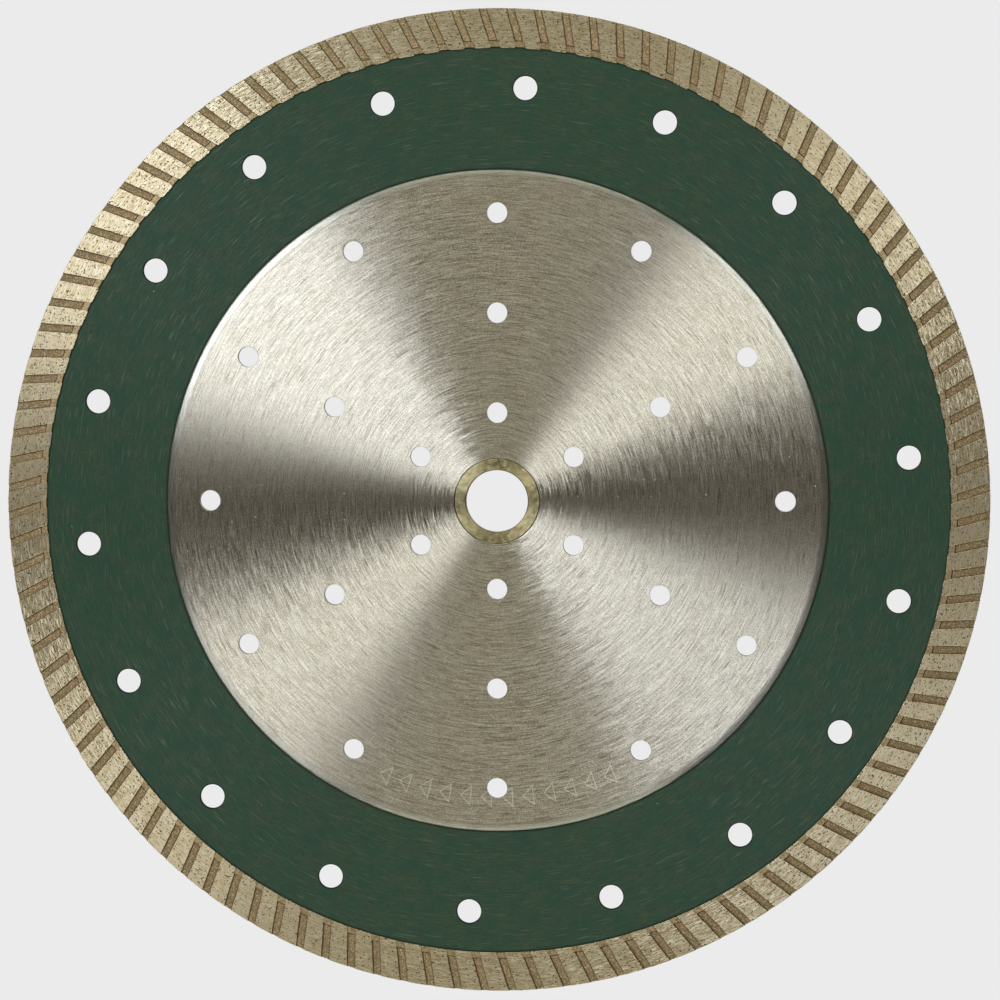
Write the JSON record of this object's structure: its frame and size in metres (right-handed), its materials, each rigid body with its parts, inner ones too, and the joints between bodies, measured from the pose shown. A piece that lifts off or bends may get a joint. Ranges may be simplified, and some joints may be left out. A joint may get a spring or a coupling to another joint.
{
  "type": "diamond blade",
  "caption": "Thin round saw blade with a slant-grooved diamond rim, a painted steel core, brushed stiffener discs and a bushed arbor hole, for wet or dry cutting of masonry.",
  "frame": {"origin": "centre of the arbor bore on the blade's middle plane", "axes": "+Z along the arbor axis, out of the front face; +Y is up in the front view, and the rotation marks are on the -Y side"},
  "size_m": [0.254, 0.254, 0.003],
  "materials": {
    "core_paint": "dark green satin enamel on a tensioned steel plate",
    "damping_film": "thin bonded viscoelastic layer, seen only at its edges",
    "brushed_steel": "bare steel, ground and brushed in circles",
    "sintered_bronze": "bronze as sintered, matt",
    "sintered_diamond": "bronze matrix with diamond grit, lands ground flat, grooves as sintered",
    "bushing_brass": "turned brass, dulled"
  },
  "bodies": {
    "blade": {"core_plate": "core_paint", "front_damping_film": "damping_film", "rear_damping_film": "damping_film", "front_stiffener_disc": "brushed_steel", "rear_stiffener_disc": "brushed_steel", "rim_backing": "sintered_bronze", "diamond_rim": "sintered_diamond"},
    "bushing": {"arbor_bushing": "bushing_brass"}
  },
  "joints": [
    {"name": "bushing_knockout", "type": "slide", "parent": "blade", "child": "bushing", "axis": [0, 0, 1], "range_m": [0, 0.01]}
  ]
}
